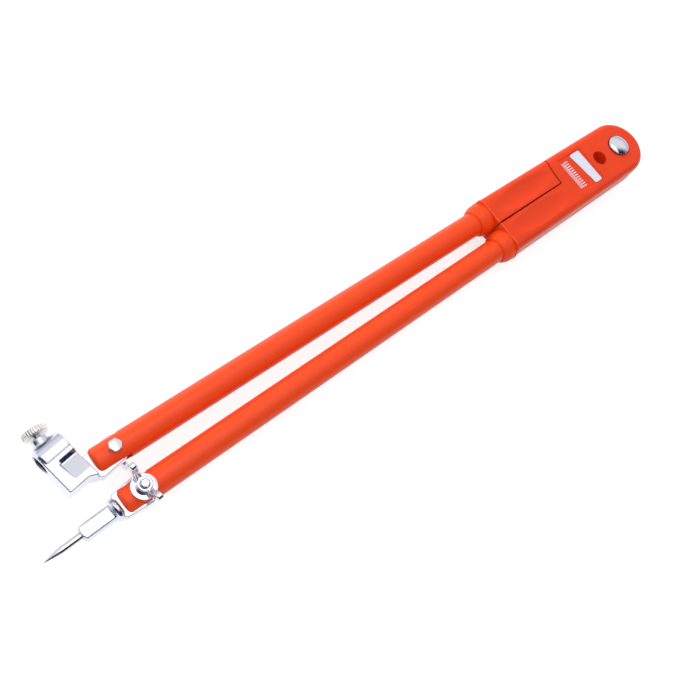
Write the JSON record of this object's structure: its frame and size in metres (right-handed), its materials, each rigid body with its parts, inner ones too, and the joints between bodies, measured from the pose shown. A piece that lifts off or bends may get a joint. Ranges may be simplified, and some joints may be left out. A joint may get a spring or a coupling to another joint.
{
  "type": "hinged carpenter's compass",
  "caption": "Large hinged compass with coated tube legs in a lap-jointed head, a swinging pencil holder with a thumb screw, and a swinging needle.",
  "frame": {"origin": "axis of the hanging hole, at the back face of the head", "axes": "+X along the closed compass towards the head's round end, the points at -X; +Y towards the pencil leg; +Z out of the front face, which the needle's wing nut is on"},
  "size_m": [0.4002, 0.0581, 0.0324],
  "materials": {
    "head_plastic": "satin moulded orange-red",
    "tube_paint": "satin powder coat, orange-red",
    "chrome": "bright chrome plate",
    "plated_steel": "bright zinc plate",
    "knob_nickel": "dull nickel, knurled",
    "needle_steel": "ground hardened steel",
    "black_steel": "blackened",
    "nylon": "natural nylon",
    "badge": "plain white film"
  },
  "bodies": {
    "needle_leg": {"front_head": "head_plastic", "badge_plate": "badge", "hinge_rivet": "chrome", "hinge_washer": "plated_steel", "friction_washer": "nylon", "right_tube": "tube_paint", "needle_bolt": "plated_steel", "needle_front_washer": "plated_steel", "needle_rear_washer": "plated_steel"},
    "pencil_leg": {"rear_head": "head_plastic", "left_tube": "tube_paint", "pencil_bolt": "plated_steel", "pencil_bolt_washer": "plated_steel"},
    "pencil_holder": {"pencil_holder": "chrome"},
    "clamp_screw": {"clamp_screw": "plated_steel"},
    "thumb_knob": {"thumb_knob": "knob_nickel"},
    "pencil_wing_nut": {"pencil_wing_nut": "plated_steel"},
    "needle_point": {"needle_socket": "chrome", "needle": "needle_steel", "needle_grub_screw": "black_steel"},
    "needle_wing_nut": {"needle_wing_nut": "plated_steel"}
  },
  "joints": [
    {"name": "leg_hinge", "type": "hinge", "parent": "needle_leg", "child": "pencil_leg", "pos_m": [0.01725, 0, 0.0092], "axis": [0, 0, -1], "range_deg": [0, 120]},
    {"name": "pencil_knee", "type": "hinge", "parent": "pencil_leg", "child": "pencil_holder", "pos_m": [-0.31775, 0.01071, 0.0092], "axis": [0, 0, 1], "range_deg": [-40, 25]},
    {"name": "needle_knee", "type": "hinge", "parent": "needle_leg", "child": "needle_point", "pos_m": [-0.31775, -0.01071, 0.0092], "axis": [0, 0, -1], "range_deg": [-40, 15]},
    {"name": "pencil_nut_turn", "type": "hinge", "parent": "pencil_leg", "child": "pencil_wing_nut", "pos_m": [-0.31775, 0.01071, 0.0092], "axis": [0, 0, -1], "range_deg": [0, 450]},
    {"name": "needle_nut_turn", "type": "hinge", "parent": "needle_leg", "child": "needle_wing_nut", "pos_m": [-0.31775, -0.01071, 0.0092], "axis": [0, 0, 1], "range_deg": [0, 450]},
    {"name": "clamp_travel", "type": "slide", "parent": "pencil_holder", "child": "clamp_screw", "axis": [0.0366, 0.9993, 0], "range_m": [-0.00122, 0.00228]},
    {"name": "knob_turn", "type": "hinge", "parent": "clamp_screw", "child": "thumb_knob", "pos_m": [-0.34096, 0.02317, 0.0092], "axis": [0.0366, 0.9993, 0], "range_deg": [-632, 1172]}
  ],
  "couplings": [
    {"joint": "knob_turn", "follows": "clamp_travel", "rad_per_m": 8976}
  ]
}
